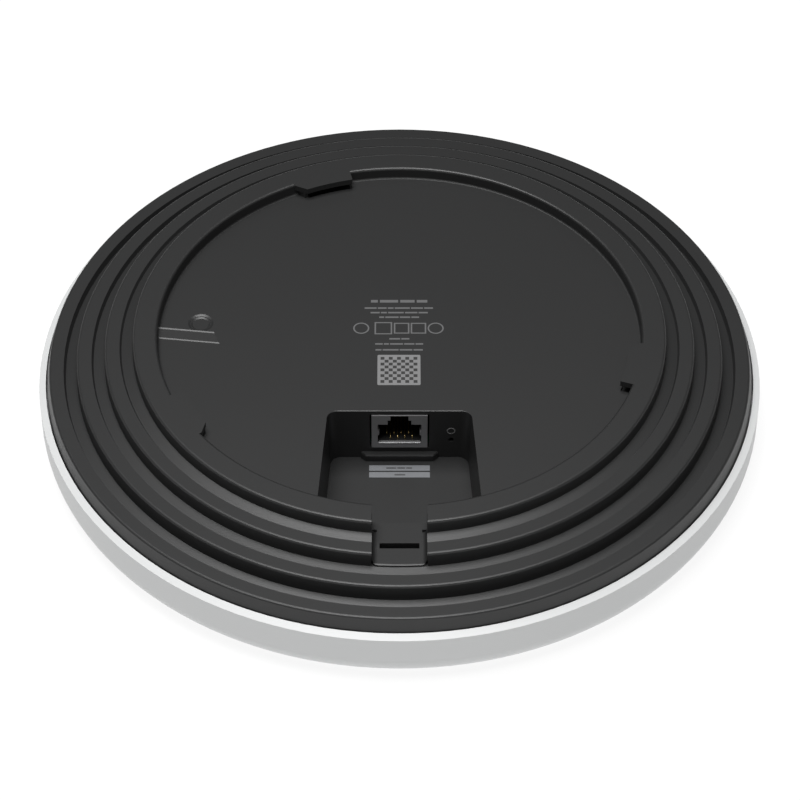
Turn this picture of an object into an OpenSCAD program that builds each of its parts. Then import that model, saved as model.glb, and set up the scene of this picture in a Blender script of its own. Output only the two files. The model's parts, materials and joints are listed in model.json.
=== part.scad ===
/* [Overall] */
// Outer diameter across the white front cover
body_d = 206; // [190:1:220]
// Height from the front face to the mounting plateau
total_h = 32.5; // [31:0.5:34]

/* [Front cover] */
// Height of the line where the cover meets the dark base
cover_h = 17.4; // [17:0.1:18]
// Thickness of the cover's front face
cover_face = 2.2; // [1.8:0.1:2.6]
// Radius of the rounded front edge
corner_r = 8.4; // [7:0.1:9]
// Width of the sloped rim around the base
rim_w = 1.9; // [1.6:0.1:2.2]
// Fall of the sloped rim
rim_drop = 0.95; // [0.6:0.05:1.2]
// Number of snap hooks inside the cover
hook_count = 8; // [6:1:10]
// Centre radius of the status light ring
light_r = 24; // [20:1:28]
// Width of the status light ring
light_w = 2; // [1.5:0.1:3]

/* [Base casting] */
// Wall thickness of the casting
cast_t = 2; // [1.8:0.1:2.2]
// Radius of the recess that takes the ceiling bracket
recess_r = 68.6; // [66:0.1:70]
// Depth of the bracket recess
recess_depth = 3.7; // [3.4:0.1:4]
// Radius of the plateau's outer edge
plateau_r = 75.5; // [75:0.1:76]
// Radial distance from one step edge to the next
step_pitch = 8.15; // [8:0.05:8.3]
// Height of one step
step_h = 3.58; // [3.4:0.02:3.7]
// Radius of the rounded step edges
edge_r = 0.75; // [0.5:0.05:1]

/* [Port bay] */
// Width of the bay at its socket end
bay_far_w = 40; // [38:0.5:42]
// Width of the bay where it meets the recess wall
bay_near_w = 45.8; // [44:0.1:48]
// Position of the bay's socket wall behind the centre line
bay_wall_y = 29.7; // [28:0.1:31]
// Height of the bay floor above the front face
bay_floor_z = 10.4; // [10.2:0.1:10.8]
// Slope of the bay's side walls, as width lost at the floor
bay_draft = 0.8; // [0:0.1:1.2]

/* [Latch channel] */
// Width of the channel through the plateau
channel_w = 14.8; // [13:0.2:16]
// Height of the channel floor above the front face
channel_z = 25.1; // [24.8:0.1:25.4]
// Length of the slot in the channel floor
slot_l = 10.7; // [9:0.1:11.5]
// Width of the slot in the channel floor
slot_w = 1.9; // [1.5:0.1:2.2]

/* [Socket] */
// Outer width of the network socket
jack_w = 15.6; // [15:0.1:16]
// Outer height of the network socket
jack_h = 12.6; // [12:0.1:12.8]
// Depth of the network socket
jack_l = 21; // [18:0.5:22]
// Diameter of the reset hole
pin_d = 1.6; // [1.2:0.1:2]
// Travel of the reset switch stem
press_travel = 0.3; // [0.2:0.05:0.4]

/* [Circuit board] */
// Radius of the main board
board_r = 86; // [84:1:88]
// Thickness of the main board
board_t = 1.6; // [1.2:0.1:1.6]
// Radius of the circle of fixing points
fix_r = 80; // [79:0.5:81]
// Number of fixing points
fix_count = 6; // [6]

/* [Hidden] */
$fn = 96;
round_fn = 240;
over = 1;

charcoal = "#3b3c3c";
off_white = "#f4f5f5";

// Radii of the cover and of the joint between cover and base
cover_r = body_d / 2;
joint_r = cover_r - rim_w;
joint_gap = 0.35;
spigot_r = 100.3;
spigot_z = 9.5;
ledge_z = 13.5;
cover_bore_r = spigot_r + 0.2;
inner_corner_r = corner_r - cover_face;
hook_z = 10.6;
hook_h = 1.4;
hook_w = 9;
hook_reach = 1.3;
window_gap = 0.2;

// Heights of the recess floor, the flats and the undersides
recess_z = total_h - recess_depth;
flat_z = [for (i = [0 : 3]) total_h - i * step_h];
edge_radii = [for (i = [0 : 3]) plateau_r + i * step_pitch];
band_in_drop = [0.35, 0.95, 1.35];
band_out_drop = [1, 1.45, 1.9];
band_w = 3.15;
rise_w = 0.5;
wall_draft = 0.25;
under_z = recess_z - cast_t;
channel_fillet = 1.4;
tongue_r = 1.6;
tongue_drop = 0.72;
skirt_in_r = spigot_r - cast_t;
recess_fillet = 0.5;

// Bayonet lugs: start and end angles of each, and their section
lug_spans = [[102.4, 117], [-19.4, -5.4], [-156.9, -142.5]];
lug_in_r = 65.2;
lug_t = 1.8;
lug_lead = 3;
lug_pocket = 0.7;
lug_stop = 1.4;
lug_stop_angle = 3;

// Detent ramp: place of its middle and its turn from the X axis
detent_at = [-60.5, 0.6, recess_z];
detent_turn = -7;

// Port bay
bay_wall_t = 2;
bay_near_y = 64.8;
bay_corner_r = 3;
sill_w = 21.6;
sill_h = 2.4;
sill_out = 1.7;
sill_taper = 1.3;
sill_edge = 0.35;
rim_edge = 0.22;
board_top = bay_floor_z + 4.2;
board_bottom = board_top - board_t;

// Socket
shell_t = 0.3;
jack_front_y = -bay_wall_y - 0.3;
mouth_w = 12.2;
mouth_z = board_top + 2;
mouth_h = 7.1;
key_w = 6.6;
key_h = 1.6;
latch_w = 5;
latch_h = 1.7;
mouth_depth = 14;
contact_pitch = 1.02;
contact_d = 0.45;
contact_count = 8;

// Reset switch
reset_x = 14.4;
reset_z = board_top + 2.8;
switch_y = -26.2;
switch_size = [6, 3.6, 4.3];
stem_size = [2.6, 2.4, 1.4];
stem_out = 1.2;
stem_gap = 0.1;

// Fixings
boss_d = 7;
thread_d = 3;
head_d = 5.4;
head_h = 1.4;
standoff_af = 5.5;
reflector_z = 7.6;
reflector_t = 0.8;
reflector_r = 92;
stud_l = 6;

// Antennas: plate size, distance from the centre and angles of each band
patch_t = 0.4;
patch_z = 4;
low_band = [28, 60, [45, 225]];
mid_band = [18, 62, [0, 90, 180, 315]];
high_band = [14, 38, [0, 60, 120, 180]];
post_d = 4;
feed_d = 1;

// Parts on the board: centre and size
soc_at = [18, 34];
soc_size = [19, 19, 2.2];
shield_size = [30, 24, 3];
shield_low_at = [-22, 52];
shield_mid_at = [-48, 18];
shield_high_at = [50, 10];
pad_t = 0.8;

function arc(cx, cy, r, from, to, steps = 5) =
    [for (i = [0 : steps]) let (a = from + (to - from) * i / steps) [cx + r * cos(a), cy + r * sin(a)]];

function polar(r, a) = [r * cos(a), r * sin(a)];

// One step of the cone: rounded edge, wall, band that falls outwards, and the short rise to the next flat
function step_points(i) = let (r = edge_radii[i], next = flat_z[i + 1], rise_r = r + wall_draft + band_w + rise_w)
    concat(arc(r - edge_r, flat_z[i] - edge_r, edge_r, 90, 0), [
        [r + wall_draft, next - band_in_drop[i]],
        [rise_r - rise_w, next - band_out_drop[i]],
        [rise_r, next]]);

// Height of the underside below flat i
function under_flat(i) = flat_z[i] - band_out_drop[i - 1] - cast_t;

module casting_profile() {
    outer = concat(
        [[0, recess_z]],
        arc(recess_r - recess_fillet, recess_z + recess_fillet, recess_fillet, -90, 0, 3),
        arc(recess_r + edge_r, total_h - edge_r, edge_r, 180, 90),
        step_points(0), step_points(1), step_points(2),
        arc(edge_radii[3] - edge_r, flat_z[3] - edge_r, edge_r, 90, 0),
        [[joint_r - joint_gap, cover_h], [joint_r - joint_gap, ledge_z],
            [spigot_r, ledge_z], [spigot_r, spigot_z], [skirt_in_r, spigot_z]]);
    under = [
        [skirt_in_r, under_flat(3)],
        [edge_radii[2] - cast_t, under_flat(3)],
        [edge_radii[2] - cast_t, under_flat(2)],
        [edge_radii[1] - cast_t, under_flat(2)],
        [edge_radii[1] - cast_t, under_flat(1)],
        [edge_radii[0] - cast_t, under_flat(1)],
        [edge_radii[0] - cast_t, total_h - cast_t],
        [recess_r + cast_t, total_h - cast_t],
        [recess_r + cast_t, under_z],
        [0, under_z]];
    polygon(concat(outer, under));
}

// Plan of the bay, grown by a margin, out to a given radius
module bay_plan(margin, limit_r) {
    slope = (bay_near_w - bay_far_w) / 2 / (bay_near_y - bay_wall_y);
    far_half = bay_far_w / 2 + margin;
    reach = recess_r + cast_t + over;
    near_half = far_half + slope * (reach - bay_wall_y);
    intersection() {
        offset(r = bay_corner_r + max(margin, 0)) offset(delta = -bay_corner_r - max(margin, 0))
            polygon([[-far_half, -bay_wall_y + max(margin, 0)], [far_half, -bay_wall_y + max(margin, 0)],
                [near_half, -reach - 10], [-near_half, -reach - 10]]);
        circle(r = limit_r, $fn = round_fn);
    }
}

module bay_slice(margin, z) {
    translate([0, 0, z])
        linear_extrude(0.01) bay_plan(margin, recess_r);
}

// Pocket of the bay, slightly narrower at the floor
module bay_pocket() {
    hull() {
        bay_slice(-bay_draft, bay_floor_z);
        bay_slice(0, recess_z + over);
    }
}

// Bevel on the rim above the socket wall and round its two corners
module bay_rim() {
    fall = 1.3 * rim_edge;
    corner_x = bay_far_w / 2 - bay_corner_r;
    translate([0, -bay_wall_y, recess_z])
        rotate([90, 0, 90])
            linear_extrude(2 * corner_x, center = true)
                polygon([[-rim_edge, -fall], [3 * rim_edge, fall], [-rim_edge, fall]]);
    for (side = [-1, 1])
        translate([side * corner_x, -bay_wall_y - bay_corner_r, recess_z - fall])
            cylinder(r1 = bay_corner_r - rim_edge, r2 = bay_corner_r + 3 * rim_edge, h = 2 * fall);
}

// Step under the socket, with slanted ends and a bevelled front edge
module sill() {
    top = bay_floor_z + sill_h;
    front = -bay_wall_y - sill_out;
    half = sill_w / 2;
    hull() {
        translate([0, 0, top - sill_edge - sill_h])
            linear_extrude(sill_h)
                polygon([[-half, -bay_wall_y + over], [half, -bay_wall_y + over],
                    [half, front + sill_taper], [half - sill_taper, front],
                    [sill_taper - half, front], [-half, front + sill_taper]]);
        translate([0, 0, top - sill_h])
            linear_extrude(sill_h)
                polygon([[-half, -bay_wall_y + over], [half, -bay_wall_y + over],
                    [half - sill_edge, front + sill_taper], [half - sill_taper, front + sill_edge],
                    [sill_taper - half, front + sill_edge], [sill_edge - half, front + sill_taper]]);
    }
}

// Plan of a lug with a slanted end
module lug_plan(span) {
    lead_angle = lug_lead / recess_r * 180 / PI;
    outer = recess_r + edge_r + 0.6;
    difference() {
        polygon(concat(
            [polar(40, span[0])],
            [for (i = [0 : 4]) polar(outer, span[0] + (span[1] - span[0]) * i / 4)],
            [polar(recess_r - 0.2, span[1]), polar(lug_in_r - 3.4, span[1] - 2 * lead_angle)]));
        circle(r = lug_in_r, $fn = round_fn);
    }
}

// Lug flush with the plateau, and the stop under its slanted end
module lug(span) {
    translate([0, 0, total_h - lug_t])
        linear_extrude(lug_t) lug_plan(span);
    lug_end_stop(span[1] - 0.5);
}

// Block under the slanted end of a lug, down to the recess floor
module lug_end_stop(angle) {
    translate([0, 0, recess_z - lug_pocket - 0.3])
        rotate([0, 0, angle])
            linear_extrude(total_h - lug_t / 2 - recess_z + lug_pocket + 0.3)
                polygon([[lug_in_r + 0.6, -lug_stop - 1], [recess_r + 1, -lug_stop - 1], [recess_r + 1, 0],
                    [lug_in_r + 0.6, -lug_stop]]);
}

// Shallow pocket in the recess floor under a lug, up to its stop
module lug_floor_pocket(span) {
    translate([0, 0, recess_z - lug_pocket])
        rotate([0, 0, span[0]])
            rotate_extrude(angle = span[1] - span[0] - lug_stop_angle, $fn = round_fn)
                translate([lug_in_r + 0.2, 0]) square([recess_r - lug_in_r - 0.6, lug_pocket + over]);
}

// Channel through the plateau and the first step: filleted sides, and a floor with rounded front corners
module latch_channel() {
    half = channel_w / 2;
    narrow = half - channel_fillet;
    front_r = edge_radii[1] + wall_draft + 0.05;
    start_y = 72;
    translate([0, -start_y + channel_fillet, channel_z])
        linear_extrude(channel_fillet + 0.2)
            polygon([[-half, 6], [half, 6], [half, 0], [narrow, -channel_fillet], [-narrow, -channel_fillet],
                [-half, 0]]);
    translate([-half, -start_y - 0.5, channel_z + channel_fillet])
        cube([channel_w, 8, total_h]);
    intersection() {
        translate([0, -start_y + 0.1, channel_z])
            rotate([90, 0, 0])
                linear_extrude(front_r + over - start_y)
                    polygon(concat(
                        arc(-narrow, channel_fillet, channel_fillet, 180, 270),
                        arc(narrow, channel_fillet, channel_fillet, 270, 360),
                        [[half + 0.3, total_h], [-half - 0.3, total_h]]));
        cylinder(r = front_r, h = 2 * total_h, $fn = round_fn);
    }
    for (side = [-1, 1]) tongue_corner(side, half, front_r);
    tongue_bevel(front_r);
}

// Takes the corner off the front of the channel floor
module tongue_corner(side, half, front_r) {
    corner_y = -sqrt(front_r * front_r - half * half);
    translate([0, 0, channel_z - tongue_drop])
        linear_extrude(2)
            polygon(concat(
                [[side * (half + 0.2), corner_y - 0.3], [side * (half + 0.2), corner_y + tongue_r]],
                arc(side * (half - tongue_r), corner_y + tongue_r, side * tongue_r, 0, -side * 90),
                [[side * (half - tongue_r), corner_y - 0.8]]));
}

// Shallow bevel along the front edge of the channel floor
module tongue_bevel(front_r) {
    bevel = 0.45;
    slope = 0.55;
    sweep = 2 * asin((channel_w / 2 - 0.2) / front_r);
    translate([0, 0, channel_z])
        rotate([0, 0, -90 - sweep / 2])
            rotate_extrude(angle = sweep, $fn = round_fn)
                polygon([[front_r - bevel, 0], [front_r + bevel, -2 * slope * bevel], [front_r + bevel, 1],
                    [front_r - bevel, 1]]);
}

// Metal under the channel floor
module channel_bed() {
    intersection() {
        translate([-channel_w / 2 - cast_t, -edge_radii[1], channel_z - cast_t])
            cube([channel_w + 2 * cast_t, edge_radii[1] - recess_r - 0.5, cast_t + over]);
        cylinder(r = edge_radii[1] - 0.2, h = total_h, $fn = round_fn);
    }
}

module latch_slot() {
    translate([-slot_l / 2, -77.8, channel_z - cast_t - over])
        cube([slot_l, slot_w, cast_t + 2 * over]);
}

// Detent ramp: a low bar from the recess wall to a slanted end, its top tilted towards the bay
module detent_bar() {
    translate(detent_at)
        rotate([0, 0, detent_turn])
            intersection() {
                rotate([90, 0, 90])
                    translate([0, 0, -9])
                        linear_extrude(20)
                            polygon([[-2.25, -0.2], [-2.25, 0], [-1.9, 0.15], [1.5, 0.28], [1.9, 0.44],
                                [1.95, 0], [1.95, -0.2]]);
                linear_extrude(4, center = true)
                    polygon([[-9, -3], [10.2, -3], [7, 3], [-9, 3]]);
            }
}

// Round pocket beside the detent ramp, with a ledge and shallow bevelled edges
module detent_pocket() {
    bevel_w = 0.5;
    bevel_h = 0.2;
    ledge_z = -0.35;
    translate([-56.7, 5.7, recess_z]) {
        translate([0, 0, -bevel_h]) cylinder(r1 = 3.15, r2 = 3.15 + 2 * bevel_w, h = 2 * bevel_h);
        translate([0, 0, ledge_z]) cylinder(r = 3, h = 1);
        translate([0, 0, ledge_z - bevel_h]) cylinder(r1 = 2.3, r2 = 2.3 + 2 * bevel_w, h = 2 * bevel_h);
    }
}

module fixings() {
    for (i = [0 : fix_count - 1])
        rotate([0, 0, i * 360 / fix_count])
            translate([fix_r, 0, 0]) children();
}

// Block on the underside that carries heat from a chip to the casting
module pedestal(at, size, foot_z) {
    translate([at[0] - size[0] / 2, at[1] - size[1] / 2, foot_z])
        cube([size[0], size[1], under_z + 0.5 - foot_z]);
}

module base_casting() {
    color(charcoal)
        difference() {
            union() {
                rotate_extrude($fn = round_fn) casting_profile();
                for (span = lug_spans) lug(span);
                detent_bar();
                translate([0, 0, bay_floor_z - cast_t])
                    linear_extrude(recess_z - bay_floor_z + cast_t - 0.2)
                        bay_plan(bay_wall_t, recess_r + cast_t);
                channel_bed();
                fixings() translate([0, 0, board_top]) cylinder(d = boss_d, h = 12.5);
                pedestal(soc_at, [20, 20], board_top + soc_size[2] + pad_t);
                pedestal(shield_low_at, [24, 18], board_top + shield_size[2] + pad_t);
                pedestal(shield_mid_at, [18, 20], board_top + shield_size[2] + pad_t);
                pedestal(shield_high_at, [20, 20], board_top + shield_size[2] + pad_t);
            }
            difference() {
                bay_pocket();
                sill();
            }
            bay_rim();
            latch_channel();
            latch_slot();
            detent_pocket();
            for (span = lug_spans) lug_floor_pocket(span);
            translate([-jack_w / 2 - 0.5, -bay_wall_y - over, board_top - 0.4])
                cube([jack_w + 1, jack_l + 2.5, jack_h + 0.6]);
            translate([reset_x, -bay_wall_y + bay_wall_t + over, reset_z])
                rotate([90, 0, 0]) cylinder(d = pin_d, h = bay_wall_t + 2 * over);
            fixings() translate([0, 0, board_top - over]) cylinder(d = thread_d, h = 8 + over);
            for (i = [0 : hook_count - 1])
                rotate([0, 0, (i + 0.5) * 360 / hook_count])
                    translate([spigot_r - 5, -hook_w / 2 - window_gap, hook_z - window_gap])
                        cube([7, hook_w + 2 * window_gap, hook_h + 2 * window_gap]);
        }
}

module cover_profile() {
    polygon(concat(
        [[0, 0]],
        arc(cover_r - corner_r, corner_r, corner_r, -90, 0, 16),
        [[cover_r, cover_h - rim_drop], [joint_r, cover_h], [joint_r, ledge_z - 0.1],
            [cover_bore_r, ledge_z - 0.1]],
        arc(cover_bore_r - inner_corner_r, cover_face + inner_corner_r, inner_corner_r, 0, -90, 8),
        [[0, cover_face]]));
}

module front_cover() {
    color(off_white) {
        difference() {
            rotate_extrude($fn = round_fn) cover_profile();
            translate([0, 0, -over]) light_annulus(light_w, over + 0.6);
        }
        for (i = [0 : hook_count - 1])
            rotate([0, 0, (i + 0.5) * 360 / hook_count])
                translate([cover_bore_r - hook_reach, -hook_w / 2, hook_z])
                    cube([hook_reach + 0.4, hook_w, hook_h]);
    }
}

module light_annulus(w, h) {
    rotate_extrude($fn = round_fn)
        translate([light_r - w / 2, 0]) square([w, h]);
}

module status_light_ring() {
    color("#dfe8f2") light_annulus(light_w, 0.6);
}

module light_guide() {
    color("#e8f2fb")
        translate([0, 0, cover_face]) light_annulus(light_w + 1, 2.4);
}

module led_board() {
    color("#0f3d2a")
        translate([0, 0, reflector_z - 1]) light_annulus(light_w + 6, 1);
}

module status_leds() {
    led = [1.6, 1.6, 0.8];
    color("#fdfbe6")
        for (i = [0 : 7])
            rotate([0, 0, i * 45])
                translate([light_r - led[0] / 2, -led[1] / 2, reflector_z - 1 - led[2]]) cube(led);
}

module main_board() {
    bay_clear = 0.7;
    color("#14402c")
        difference() {
            translate([0, 0, board_bottom]) cylinder(r = board_r, h = board_t, $fn = round_fn);
            translate([0, 0, board_bottom - over])
                linear_extrude(board_t + 2 * over)
                    bay_plan(bay_wall_t + bay_clear, board_r + 10);
            fixings() translate([0, 0, board_bottom - over]) cylinder(d = thread_d + 0.3, h = board_t + 2 * over);
        }
}

// Opening of the socket: plug space, key step and latch notch
module mouth(depth) {
    translate([-mouth_w / 2, 0, mouth_z]) cube([mouth_w, depth, mouth_h]);
    translate([-key_w / 2, 0, mouth_z]) cube([key_w, depth, mouth_h + key_h]);
    translate([-latch_w / 2, 0, mouth_z]) cube([latch_w, depth, mouth_h + key_h + latch_h]);
}

module jack_shell() {
    color("#8f9294")
        difference() {
            translate([-jack_w / 2, jack_front_y, board_top]) cube([jack_w, jack_l, jack_h]);
            translate([-jack_w / 2 + shell_t, jack_front_y + shell_t, board_top - over])
                cube([jack_w - 2 * shell_t, jack_l - 2 * shell_t, jack_h - shell_t + over]);
            translate([0, jack_front_y - over, 0]) mouth(shell_t + 2 * over);
        }
}

module jack_insert() {
    back_gap = 0.1;
    size = [jack_w - 2 * shell_t - back_gap, jack_l - 2 * shell_t - back_gap, jack_h - shell_t - back_gap];
    color("#141414")
        difference() {
            translate([-size[0] / 2, jack_front_y + shell_t, board_top]) cube(size);
            translate([0, jack_front_y, 0]) mouth(mouth_depth);
            for (i = [0 : contact_count - 1]) contact(i, contact_d + 0.15);
        }
}

// One spring wire, sloping up and back from the front lip of the mouth
module contact(i, d) {
    x = (i - (contact_count - 1) / 2) * contact_pitch;
    stagger = ((i + 1) % 2) * 1.75;
    rise = atan2(mouth_h * 0.28, mouth_depth - 5);
    translate([x, jack_front_y + 1.6 + stagger, mouth_z - 0.3])
        rotate([rise - 90, 0, 0]) cylinder(d = d, h = mouth_depth - 0.1 - stagger, $fn = 24);
}

module jack_contacts() {
    color("#d9b24a")
        for (i = [0 : contact_count - 1]) contact(i, contact_d);
}

module reset_switch_body() {
    bore = [stem_size[0] + 2 * stem_gap, stem_size[1] - stem_out + press_travel + 0.3, stem_size[2] + 2 * stem_gap];
    color("#1d1d1f")
        difference() {
            translate([reset_x - switch_size[0] / 2, switch_y, board_top]) cube(switch_size);
            translate([reset_x - bore[0] / 2, switch_y - over, reset_z - bore[2] / 2])
                cube([bore[0], bore[1] + over, bore[2]]);
        }
}

module reset_switch_stem() {
    color("#c9c9c4")
        translate([reset_x - stem_size[0] / 2, switch_y - stem_out, reset_z - stem_size[2] / 2])
            cube(stem_size);
}

module board_block(at, size, lift = 0) {
    translate([at[0] - size[0] / 2, at[1] - size[1] / 2, board_top + lift]) cube(size);
}

module network_transformer() {
    color("#1a1a1c") board_block([0, 3], [17, 16, 7.5]);
}

module power_transformer() {
    color("#3a3427") board_block([-26, -12], [19, 17, 10.5]);
}

module power_capacitors() {
    color("#2a2f3a")
        for (at = [[-44, -14], [-44, -26], [-33, -34]])
            translate([at[0], at[1], board_top]) cylinder(d = 8, h = 10.5);
}

module power_inductors() {
    color("#33363a")
        for (at = [[30, -16], [30, -27], [42, -22], [42, -33]])
            board_block(at, [8, 8, 4.5]);
}

module processor() {
    color("#202124") board_block(soc_at, soc_size);
}

module memory_chips() {
    color("#202124")
        for (at = [[0, 28], [0, 42], [18, 54]])
            board_block(at, [11, 9, 1.1]);
}

// Thin metal can over one radio
module radio_shield(at) {
    wall = 0.3;
    difference() {
        board_block(at, shield_size);
        translate([0, 0, -over])
            board_block(at, [shield_size[0] - 2 * wall, shield_size[1] - 2 * wall, shield_size[2] - wall + over]);
    }
}

module radio_shield_low() {
    color("#b9bdc0") radio_shield(shield_low_at);
}

module radio_shield_mid() {
    color("#b9bdc0") radio_shield(shield_mid_at);
}

module radio_shield_high() {
    color("#b9bdc0") radio_shield(shield_high_at);
}

module thermal_pads() {
    color("#7d94ad") {
        board_block(soc_at, [17, 17, pad_t], soc_size[2]);
        for (at = [shield_low_at, shield_mid_at, shield_high_at])
            board_block(at, [17, 17, pad_t], shield_size[2]);
    }
}

module antenna_reflector() {
    color("#c3c6c8")
        difference() {
            translate([0, 0, reflector_z]) cylinder(r = reflector_r, h = reflector_t, $fn = round_fn);
            translate([0, 0, reflector_z - over]) cylinder(r = 12, h = reflector_t + 2 * over);
            fixings() translate([0, 0, reflector_z - over]) cylinder(d = thread_d + 0.3, h = reflector_t + 2 * over);
            feed_points() translate([0, 0, reflector_z - over]) cylinder(d = 3, h = reflector_t + 2 * over);
        }
}

module around(band) {
    for (angle = band[2])
        rotate([0, 0, angle])
            translate([band[1], 0, 0]) children();
}

// Feed points of all the antennas, one near the inner edge of each plate
module feed_points() {
    for (band = [low_band, mid_band, high_band])
        around(band) translate([-band[0] / 4, 0, 0]) children();
}

module patch(band) {
    translate([-band[0] / 2, -band[0] / 2, patch_z]) cube([band[0], band[0], patch_t]);
}

module low_band_antennas() {
    color("#cfa46a") around(low_band) patch(low_band);
}

module mid_band_antennas() {
    color("#cfa46a") around(mid_band) patch(mid_band);
}

module high_band_antennas() {
    color("#cfa46a") around(high_band) patch(high_band);
}

module antenna_posts() {
    color("#e6e6e2")
        for (band = [low_band, mid_band, high_band])
            around(band)
                translate([band[0] / 4, 0, patch_z + patch_t])
                    cylinder(d = post_d, h = reflector_z - patch_z - patch_t);
}

module antenna_feeds() {
    color("#d9b24a")
        feed_points()
            translate([0, 0, patch_z + patch_t])
                cylinder(d = feed_d, h = board_bottom - patch_z - patch_t);
}

module board_standoffs() {
    body_z = reflector_z + reflector_t;
    color("#b5b7b8")
        fixings()
            difference() {
                union() {
                    translate([0, 0, body_z])
                        cylinder(d = standoff_af / cos(30), h = board_bottom - body_z, $fn = 6);
                    translate([0, 0, board_bottom - 0.01]) cylinder(d = thread_d - 0.1, h = board_t + stud_l);
                }
                translate([0, 0, body_z - over]) cylinder(d = thread_d, h = 4 + over);
            }
}

module reflector_screws() {
    color("#6f7274")
        fixings()
            difference() {
                union() {
                    translate([0, 0, reflector_z - head_h]) cylinder(d = head_d, h = head_h);
                    translate([0, 0, reflector_z - 0.01]) cylinder(d = thread_d - 0.1, h = 4);
                }
                for (a = [0, 90])
                    rotate([0, 0, a])
                        translate([-1.5, -0.3, reflector_z - head_h - over]) cube([3, 0.6, over + 0.8]);
            }
}

module port_labels() {
    label = [17, 2.1, 0.12];
    color("#a9abad")
        for (y = [-34.1, -36.7])
            translate([-label[0] / 2, y - label[1] / 2, bay_floor_z]) cube(label);
}

base_casting();
front_cover();
status_light_ring();
light_guide();
led_board();
status_leds();
main_board();
jack_shell();
jack_insert();
jack_contacts();
reset_switch_body();
reset_switch_stem();
network_transformer();
power_transformer();
power_capacitors();
power_inductors();
processor();
memory_chips();
radio_shield_low();
radio_shield_mid();
radio_shield_high();
thermal_pads();
antenna_reflector();
low_band_antennas();
mid_band_antennas();
high_band_antennas();
antenna_posts();
antenna_feeds();
board_standoffs();
reflector_screws();
port_labels();
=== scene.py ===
"""Ceiling access point lying on its white front, with its mounting side up."""
import json
import math

import bmesh
import bpy
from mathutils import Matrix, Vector


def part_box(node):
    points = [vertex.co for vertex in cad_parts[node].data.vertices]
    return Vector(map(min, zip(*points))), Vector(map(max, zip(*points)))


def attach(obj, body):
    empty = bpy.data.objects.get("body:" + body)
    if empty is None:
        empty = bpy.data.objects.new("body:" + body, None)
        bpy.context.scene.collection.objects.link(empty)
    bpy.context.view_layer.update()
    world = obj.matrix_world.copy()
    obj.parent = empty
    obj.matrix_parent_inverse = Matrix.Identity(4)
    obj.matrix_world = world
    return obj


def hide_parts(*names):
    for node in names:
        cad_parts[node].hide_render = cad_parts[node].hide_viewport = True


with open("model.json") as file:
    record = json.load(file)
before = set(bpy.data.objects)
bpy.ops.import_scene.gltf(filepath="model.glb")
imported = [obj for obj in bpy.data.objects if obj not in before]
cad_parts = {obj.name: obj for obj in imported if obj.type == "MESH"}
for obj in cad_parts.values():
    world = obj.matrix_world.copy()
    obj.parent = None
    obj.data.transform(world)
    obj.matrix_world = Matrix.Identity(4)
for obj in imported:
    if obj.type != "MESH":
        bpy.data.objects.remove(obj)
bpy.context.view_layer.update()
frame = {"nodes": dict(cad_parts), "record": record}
NODES = frame["nodes"]
ROOT = "access_point"
MM = 0.001
GRAIN_DEPTH = 0.00004
PRINT = 0.00003  # half the thickness of a printed mark


# ---------------------------------------------------------------- materials
def new_material(name, **settings):
    """A material, its node tree and its shader, whose sockets hold the constants in settings."""
    mat = bpy.data.materials.new(name)
    mat.use_nodes = True
    shader = mat.node_tree.nodes["Principled BSDF"]
    for socket, value in settings.items():
        shader.inputs[socket.replace("_", " ")].default_value = value
    return mat, mat.node_tree, shader


def object_noise(tree, scale, detail=2.0, roughness=0.5, stretch=None):
    """Noise in object space; the scale is in features per metre."""
    coords = tree.nodes.new("ShaderNodeTexCoord")
    noise = tree.nodes.new("ShaderNodeTexNoise")
    noise.inputs["Scale"].default_value = scale
    noise.inputs["Detail"].default_value = detail
    noise.inputs["Roughness"].default_value = roughness
    source = coords.outputs["Object"]
    if stretch:
        mapping = tree.nodes.new("ShaderNodeMapping")
        mapping.inputs["Scale"].default_value = stretch
        tree.links.new(source, mapping.inputs["Vector"])
        source = mapping.outputs["Vector"]
    tree.links.new(source, noise.inputs["Vector"])
    return noise.outputs["Fac"]


def ramp(tree, factor, low, high):
    """Maps a 0-1 factor to a range of numbers."""
    node = tree.nodes.new("ShaderNodeMapRange")
    node.inputs["To Min"].default_value = low
    node.inputs["To Max"].default_value = high
    tree.links.new(factor, node.inputs["Value"])
    return node.outputs["Result"]


def colour_mix(tree, factor, low, high):
    """Blends two colours by a factor."""
    node = tree.nodes.new("ShaderNodeMix")
    node.data_type = "RGBA"
    node.inputs[6].default_value = (*low, 1)
    node.inputs[7].default_value = (*high, 1)
    tree.links.new(factor, node.inputs[0])
    return node.outputs[2]


def bump(tree, shader, height, strength, distance):
    """Fine relief from a height factor; the distance is in metres."""
    node = tree.nodes.new("ShaderNodeBump")
    node.inputs["Strength"].default_value = strength
    node.inputs["Distance"].default_value = distance
    tree.links.new(height, node.inputs["Height"])
    tree.links.new(node.outputs["Normal"], shader.inputs["Normal"])


def coated_metal():
    """Fine charcoal powder coat: small grain, soft large-scale variation."""
    mat, tree, shader = new_material("charcoal_casting", Metallic=0.0, Specular_IOR_Level=0.48)
    grain = object_noise(tree, 2600, 3)
    cloud = object_noise(tree, 18, 2)
    colour = colour_mix(tree, cloud, (0.0165, 0.0167, 0.0168), (0.0185, 0.0187, 0.0188))
    tree.links.new(colour, shader.inputs["Base Color"])
    tree.links.new(ramp(tree, grain, 0.36, 0.44), shader.inputs["Roughness"])
    bump(tree, shader, grain, 0.12, 0.00006)
    return mat


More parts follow.
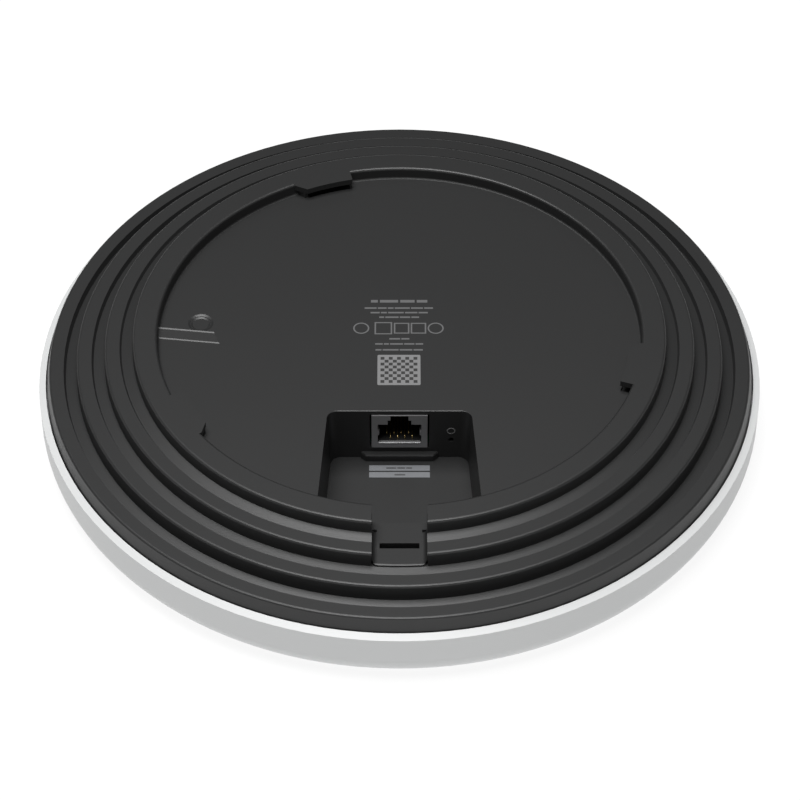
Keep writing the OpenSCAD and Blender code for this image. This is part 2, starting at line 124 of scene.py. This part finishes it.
def white_shell():
    """Matte white moulded plastic with a very fine texture."""
    mat, tree, shader = new_material("white_plastic", Specular_IOR_Level=0.4)
    grain = object_noise(tree, 1800, 2)
    cloud = object_noise(tree, 9, 1)
    colour = colour_mix(tree, cloud, (0.60, 0.608, 0.608), (0.63, 0.638, 0.638))
    tree.links.new(colour, shader.inputs["Base Color"])
    tree.links.new(ramp(tree, grain, 0.36, 0.46), shader.inputs["Roughness"])
    bump(tree, shader, grain, 0.08, GRAIN_DEPTH)
    return mat


def plain(name, low, high, scale, rough, metallic=0.0, grain=0.1, stretch=None):
    """A material with object-space colour variation, roughness variation and a fine bump."""
    mat, tree, shader = new_material(name, Metallic=metallic)
    noise = object_noise(tree, scale, 3, 0.5, stretch)
    tree.links.new(colour_mix(tree, noise, low, high), shader.inputs["Base Color"])
    tree.links.new(ramp(tree, noise, rough[0], rough[1]), shader.inputs["Roughness"])
    bump(tree, shader, noise, grain, GRAIN_DEPTH)
    return mat


def make_materials():
    """All the finishes by name: those of the record's slots, then those of the small marks."""
    return {
        "charcoal_casting": coated_metal(),
        "white_plastic": white_shell(),
        "diffuser": plain("diffuser", (0.74, 0.78, 0.82), (0.78, 0.81, 0.85), 900, (0.18, 0.24)),
        "clear_plastic": plain("clear_plastic", (0.8, 0.85, 0.88), (0.85, 0.9, 0.92), 400, (0.05, 0.1)),
        "circuit_board": plain("circuit_board", (0.01, 0.09, 0.045), (0.02, 0.13, 0.07),
                               700, (0.25, 0.4)),
        "steel": plain("steel", (0.33, 0.335, 0.34), (0.42, 0.425, 0.43), 900, (0.3, 0.42), 1.0, 0.15,
                       (1, 1, 14)),
        "socket_steel": plain("socket_steel", (0.3, 0.3, 0.305), (0.36, 0.36, 0.365),
                              1100, (0.42, 0.52), 0.7),
        "black_plastic": plain("black_plastic", (0.008, 0.008, 0.008), (0.014, 0.014, 0.014),
                               1500, (0.45, 0.6)),
        "gold_contact": plain("gold_contact", (0.83, 0.6, 0.22), (0.95, 0.72, 0.32),
                              2500, (0.16, 0.28), 1.0),
        "grey_plastic": plain("grey_plastic", (0.42, 0.42, 0.4), (0.5, 0.5, 0.48), 1500, (0.4, 0.5)),
        "chip_black": plain("chip_black", (0.012, 0.012, 0.013), (0.022, 0.022, 0.024),
                            1800, (0.4, 0.55)),
        "ferrite": plain("ferrite", (0.02, 0.02, 0.022), (0.04, 0.04, 0.044), 1200, (0.5, 0.65)),
        "capacitor_can": plain("capacitor_can", (0.05, 0.06, 0.09), (0.07, 0.08, 0.12),
                               600, (0.25, 0.35)),
        "thermal_pad": plain("thermal_pad", (0.17, 0.24, 0.32), (0.22, 0.3, 0.38), 1500, (0.6, 0.75)),
        "aluminium_sheet": plain("aluminium_sheet", (0.6, 0.61, 0.62), (0.7, 0.71, 0.72),
                                 900, (0.28, 0.4), 1.0, 0.1, (12, 1, 1)),
        "antenna_metal": plain("antenna_metal", (0.6, 0.42, 0.25), (0.7, 0.5, 0.3),
                               900, (0.25, 0.35), 1.0),
        "white_post": plain("white_post", (0.7, 0.7, 0.67), (0.76, 0.76, 0.73), 1200, (0.4, 0.5)),
        "screw_steel": plain("screw_steel", (0.3, 0.31, 0.32), (0.4, 0.41, 0.42),
                             1500, (0.25, 0.38), 1.0),
        "label_grey": plain("label_grey", (0.15, 0.155, 0.165), (0.17, 0.175, 0.185),
                            1300, (0.45, 0.55)),
        "mark_grey": plain("mark_grey", (0.1, 0.1, 0.102), (0.12, 0.12, 0.122), 2500, (0.4, 0.5)),
        "patch_grey": plain("patch_grey", (0.17, 0.17, 0.172), (0.2, 0.2, 0.202), 2500, (0.4, 0.5)),
        "ink_dark": plain("ink_dark", (0.02, 0.02, 0.02), (0.035, 0.035, 0.035), 2500, (0.4, 0.5)),
        "ink_grey": plain("ink_grey", (0.05, 0.05, 0.052), (0.07, 0.07, 0.072), 2500, (0.4, 0.5)),
        "ink_pale": plain("ink_pale", (0.16, 0.16, 0.16), (0.2, 0.2, 0.2), 2500, (0.4, 0.5)),
    }


def shade(obj, material):
    """Gives an object one material in place of those it has."""
    obj.data.materials.clear()
    obj.data.materials.append(material)


MATERIALS = make_materials()
for part in frame["record"]["subparts"]:
    shade(NODES[part["node"]], MATERIALS[part["material_slot"]])
shade(NODES["jack_shell"], MATERIALS["socket_steel"])


# ---------------------------------------------------------------- small pieces
def add_piece(name, bm, slot, material=None):
    """Turns a bmesh into a piece that rides on the main body and takes the finish named by material, or by
    slot when no material is given.
    """
    mesh = bpy.data.meshes.new(name)
    bmesh.ops.recalc_face_normals(bm, faces=bm.faces)
    bm.to_mesh(mesh)
    bm.free()
    piece = bpy.data.objects.new(name, mesh)
    bpy.context.scene.collection.objects.link(piece)
    shade(piece, MATERIALS[material or slot])
    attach(piece, ROOT)
    return piece


def prism(bm, outline, low, high):
    """A closed prism over a list of x, y points, between two heights."""
    bottom = [bm.verts.new((x, y, low)) for x, y in outline]
    top = [bm.verts.new((x, y, high)) for x, y in outline]
    bm.faces.new(bottom[::-1])
    bm.faces.new(top)
    for k in range(len(outline)):
        after = (k + 1) % len(outline)
        bm.faces.new((bottom[k], bottom[after], top[after], top[k]))


def rounded_box(bm, x, y, w, h, low, high, radius=0.0, steps=3):
    """A prism over a rectangle centred at x, y with rounded corners."""
    radius = min(radius, w / 2, h / 2)
    outline = []
    for turn, (sx, sy) in enumerate([(1, 1), (-1, 1), (-1, -1), (1, -1)]):
        if radius <= 0:
            outline.append((x + sx * w / 2, y + sy * h / 2))
            continue
        for k in range(steps + 1):
            angle = math.pi / 2 * (turn + k / steps)
            outline.append((x + sx * (w / 2 - radius) + radius * math.cos(angle),
                            y + sy * (h / 2 - radius) + radius * math.sin(angle)))
    prism(bm, outline, low, high)


def ring(bm, centre, outer, inner, low, high, rotate=None, steps=32):
    """A flat ring; rotate turns its local z axis to another direction."""
    loops = []
    for radius, z in ((outer, low), (outer, high), (inner, high), (inner, low)):
        loop = []
        for k in range(steps):
            angle = 2 * math.pi * k / steps
            point = Vector((radius * math.cos(angle), radius * math.sin(angle), z))
            if rotate:
                point = rotate(point)
            loop.append(bm.verts.new(point + Vector(centre)))
        loops.append(loop)
    for a in range(4):
        for k in range(steps):
            after = (k + 1) % steps
            bm.faces.new((loops[a][k], loops[a][after], loops[(a + 1) % 4][after], loops[(a + 1) % 4][k]))


def tube(bm, points, radius, sides=10):
    """A round wire through points, all of them in one plane of constant x, with closed ends."""
    loops = []
    for k, point in enumerate(points):
        before, after = points[max(k - 1, 0)], points[min(k + 1, len(points) - 1)]
        along = (Vector(after) - Vector(before)).normalized()
        side = Vector((1, 0, 0))
        up = side.cross(along)
        loops.append([bm.verts.new(Vector(point) + radius * (side * math.cos(a) + up * math.sin(a)))
                      for a in (2 * math.pi * n / sides for n in range(sides))])
    for first, second in zip(loops, loops[1:]):
        for n in range(sides):
            after = (n + 1) % sides
            bm.faces.new((first[n], first[after], second[after], second[n]))
    bm.faces.new(loops[0][::-1])
    bm.faces.new(loops[-1])


def dashes(bm, y, height, left, right, count, low, high):
    """A row of plain bars of alternating lengths between left and right."""
    gap = height * 0.55
    weights = [1 + 0.55 * ((3 * k + count) % 4) for k in range(count)]
    unit = (right - left - gap * (count - 1)) / sum(weights)
    x = left
    for weight in weights:
        width = unit * weight
        rounded_box(bm, x + width / 2, y, width, height, low, high)
        x += width + gap


MOUNTS = {mount["name"]: mount for mount in frame["record"]["mounts"]}


def recess_marks():
    """Plain bars and outline signs on the recess floor, in the places where a product is marked."""
    floor = MOUNTS["bracket_recess"]["pos_m"][2]
    low, high = floor - PRINT, floor + PRINT
    bm = bmesh.new()
    rows = [(14.7, 1.1, -8.2, 8.0, 4), (11.85, 0.62, -10.0, 9.6, 6), (9.95, 0.62, -8.3, 8.1, 5),
            (8.05, 0.62, -5.8, 5.6, 4), (-0.85, 0.6, -2.9, 2.8, 2), (-2.95, 0.6, -6.9, 6.7, 5),
            (-5.35, 0.6, -6.8, 6.6, 4)]
    for y, height, left, right, count in rows:
        dashes(bm, y * MM, height * MM, left * MM, right * MM, count, low, high)
    sign_y, sign_r, line = 3.5 * MM, 2.3 * MM, 0.42 * MM
    for x in (-10.9, 10.3):
        ring(bm, (x * MM, sign_y, 0), sign_r, sign_r - line, low, high)
    for x, half in ((-4.6, 2.3), (0.6, 2.0), (5.4, 2.0)):
        for side in (-1, 1):
            rounded_box(bm, (x + side * half) * MM, sign_y, line, 2 * half * MM + line, low, high)
            rounded_box(bm, x * MM, sign_y + side * half * MM, 2 * half * MM - line, line, low, high)
    add_piece("recess_marks", bm, "label_grey", "mark_grey")


def recess_patch():
    """Plain pale patch with an even chequer of small squares, set in its middle."""
    floor = MOUNTS["bracket_recess"]["pos_m"][2]
    centre_x, centre_y, side = -0.15 * MM, -13.45 * MM, 12.1 * MM
    bm = bmesh.new()
    rounded_box(bm, centre_x, centre_y, side, side, floor - PRINT, floor + PRINT, 0.4 * MM)
    add_piece("recess_patch", bm, "label_grey", "patch_grey")
    bm = bmesh.new()
    cells, pitch = 9, 1.16 * MM
    square = 0.94 * pitch
    for row in range(cells):
        for column in range(cells):
            if (row + column) % 2:
                continue
            x = centre_x + (column - (cells - 1) / 2) * pitch
            y = centre_y + (row - (cells - 1) / 2) * pitch
            rounded_box(bm, x, y, square, square, floor, floor + 2 * PRINT)
    add_piece("patch_chequer", bm, "label_grey", "ink_dark")


def label_marks():
    """Short plain bars in the middle of the two strips in front of the socket."""
    lowest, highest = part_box("port_labels")
    middle = (lowest[1] + highest[1]) / 2
    between = 0.5 * MM
    strip = (highest[1] - lowest[1] - between) / 2
    top = highest[2]
    bm = bmesh.new()
    for side, left, right, count in ((1, -3.7, 3.5, 3), (-1, -1.4, 1.6, 1)):
        y = middle + side * (strip + between) / 2
        dashes(bm, y, 0.55 * MM, left * MM, right * MM, count, top - PRINT, top + PRINT)
    add_piece("label_marks", bm, "label_grey", "ink_grey")


def reset_mark():
    """Plain raised ring above the reset hole."""
    x, y, z = MOUNTS["reset_hole"]["pos_m"]
    bm = bmesh.new()
    ring(bm, (x, y, z + 3.5 * MM), 1.2 * MM, 0.9 * MM, -0.02 * MM, 0.06 * MM,
         lambda p: Vector((p.x, -p.z, p.y)))
    add_piece("reset_ring", bm, "label_grey", "ink_pale")


def socket_lip(half, front, floor):
    """Rolled lower lip of the socket's opening."""
    bm = bmesh.new()
    lip = 0.2 * MM
    profile = [(front - 0.06 * MM, floor - 2.2 * lip), (front - 0.16 * MM, floor - 1.2 * lip),
               (front - 0.1 * MM, floor - 0.35 * lip), (front + 0.15 * MM, floor + 0.12 * lip),
               (front + 0.8 * MM, floor + 0.16 * lip), (front + 0.8 * MM, floor - 2.2 * lip)]
    left = [bm.verts.new((-half + 0.35 * MM, y, z)) for y, z in profile]
    right = [bm.verts.new((half - 0.35 * MM, y, z)) for y, z in profile]
    bm.faces.new(left)
    bm.faces.new(right[::-1])
    for k in range(len(profile)):
        after = (k + 1) % len(profile)
        bm.faces.new((left[k], right[k], right[after], left[after]))
    add_piece("socket_lip", bm, "steel", "socket_steel")


def socket_springs(half, front, floor):
    """Springs that the plug's shield touches, one on each side of the opening."""
    bm = bmesh.new()
    profile = [(half + 0.05 * MM, front + 0.05 * MM), (half - 0.45 * MM, front + 0.5 * MM),
               (half - 0.5 * MM, front + 1.6 * MM), (half + 0.05 * MM, front + 3.2 * MM)]
    for side in (-1, 1):
        prism(bm, [(side * x, y) for x, y in profile], floor + 2.6 * MM, floor + 4.4 * MM)
    add_piece("socket_springs", bm, "steel", "socket_steel")


def contact_wires(front, floor):
    """Eight bent contact wires, in two staggered rows, in place of the plain CAD contacts."""
    count, pitch, wire_r = 8, 1.02 * MM, 0.17 * MM
    foot, bend, steps, turn, slope = 0.3 * MM, 0.5 * MM, 5, math.radians(75), math.radians(15)
    back = front + 12 * MM
    bm = bmesh.new()
    for n in range(count):
        x = (n - (count - 1) / 2) * pitch
        start = front + (1.55 * MM if n % 2 else 3.3 * MM)
        points = [(x, start, floor + 0.05 * MM), (x, start, floor + foot)]
        for k in range(1, steps + 1):
            angle = turn * k / steps
            points.append((x, start + bend * (1 - math.cos(angle)), floor + foot + bend * math.sin(angle)))
        end = points[-1]
        points.append((x, back, end[2] + (back - end[1]) * math.tan(slope)))
        tube(bm, points, wire_r)
    wires = add_piece("contact_wires", bm, "gold_contact")
    for face in wires.data.polygons:
        face.use_smooth = len(face.vertices) == 4
    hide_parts("jack_contacts")


def socket_details():
    """Lip, springs and wires, placed from the socket shell's box."""
    lowest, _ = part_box("jack_shell")
    half, front, floor = 6.1 * MM, lowest[1], lowest[2] + 2.0 * MM
    socket_lip(half, front, floor)
    socket_springs(half, front, floor)
    contact_wires(front, floor)


recess_marks()
recess_patch()
label_marks()
reset_mark()
socket_details()


# ---------------------------------------------------------------- studio
WORLD = 0.08
OVERHEAD = 24
FILL = 1.6
FLOOR_ALBEDO = 0.15
FLOOR_GLOW = 0.86
WHITE = (1, 1, 1, 1)


def area_light(name, place, size, power):
    """A rectangular light that points at the origin."""
    data = bpy.data.lights.new(name, "AREA")
    data.energy = power
    data.shape = "RECTANGLE"
    data.size, data.size_y = size
    light = bpy.data.objects.new(name, data)
    light.location = place
    light.rotation_euler = (-light.location).to_track_quat("-Z", "Y").to_euler()
    bpy.context.scene.collection.objects.link(light)


def one_sided(mat):
    """Makes the floor clear from its underside, so that the front face can be seen from below."""
    tree = mat.node_tree
    side = tree.nodes.new("ShaderNodeNewGeometry").outputs["Backfacing"]
    clear = tree.nodes.new("ShaderNodeBsdfTransparent")
    mix = tree.nodes.new("ShaderNodeMixShader")
    tree.links.new(side, mix.inputs["Fac"])
    tree.links.new(tree.nodes["Principled BSDF"].outputs["BSDF"], mix.inputs[1])
    tree.links.new(clear.outputs["BSDF"], mix.inputs[2])
    tree.links.new(mix.outputs["Shader"], tree.nodes["Material Output"].inputs["Surface"])


def pale_floor():
    """Plain floor just under the object; its quad's diagonal passes clear of the object."""
    half, back, low = 3.0, 4.0, -0.2 * MM
    mesh = bpy.data.meshes.new("floor")
    corners = [(-half, -half, low), (half, -half, low), (half, back, low), (-half, back, low)]
    mesh.from_pydata(corners, [], [(0, 1, 2, 3)])
    floor = bpy.data.objects.new("floor", mesh)
    bpy.context.scene.collection.objects.link(floor)
    grey = (FLOOR_ALBEDO, FLOOR_ALBEDO, FLOOR_ALBEDO, 1)
    mat, _, _ = new_material("floor", Base_Color=grey, Roughness=0.8, Specular_IOR_Level=0.0,
                             Emission_Color=WHITE, Emission_Strength=FLOOR_GLOW)
    one_sided(mat)
    floor.data.materials.append(mat)


def studio():
    """Faint white surroundings, a large soft light overhead and a weak one in front."""
    world = bpy.data.worlds.new("studio")
    bpy.context.scene.world = world
    world.use_nodes = True
    background = world.node_tree.nodes["Background"]
    background.inputs["Color"].default_value = WHITE
    background.inputs["Strength"].default_value = WORLD
    area_light("overhead", (-0.12, -0.05, 1.3), (1.0, 0.8), OVERHEAD)
    area_light("front_fill", (0, -1.3, 0.35), (0.9, 0.4), FILL)
    bpy.context.scene.view_settings.view_transform = "Standard"


def camera():
    """Long lens, 45 degrees above the floor, on the socket side, aimed at the white rim's height."""
    elevation = math.radians(45.02)
    distance, drop, across = 0.9, 9.9 * MM, 0.14 * MM
    focal_px, frame_px, sensor_mm = 3140, 800, 36
    aim = Vector((0, 0, 17.4 * MM))
    forward = Vector((0, math.cos(elevation), -math.sin(elevation)))
    up = Vector((0, math.sin(elevation), math.cos(elevation)))
    data = bpy.data.cameras.new("camera")
    data.sensor_width = sensor_mm
    data.lens = focal_px * sensor_mm / frame_px
    data.clip_start = 0.01
    cam = bpy.data.objects.new("camera", data)
    cam.location = aim - forward * distance - up * drop + Vector((across, 0, 0))
    cam.rotation_euler = forward.to_track_quat("-Z", "Y").to_euler()
    bpy.context.scene.collection.objects.link(cam)
    bpy.context.scene.camera = cam


pale_floor()
studio()
camera()
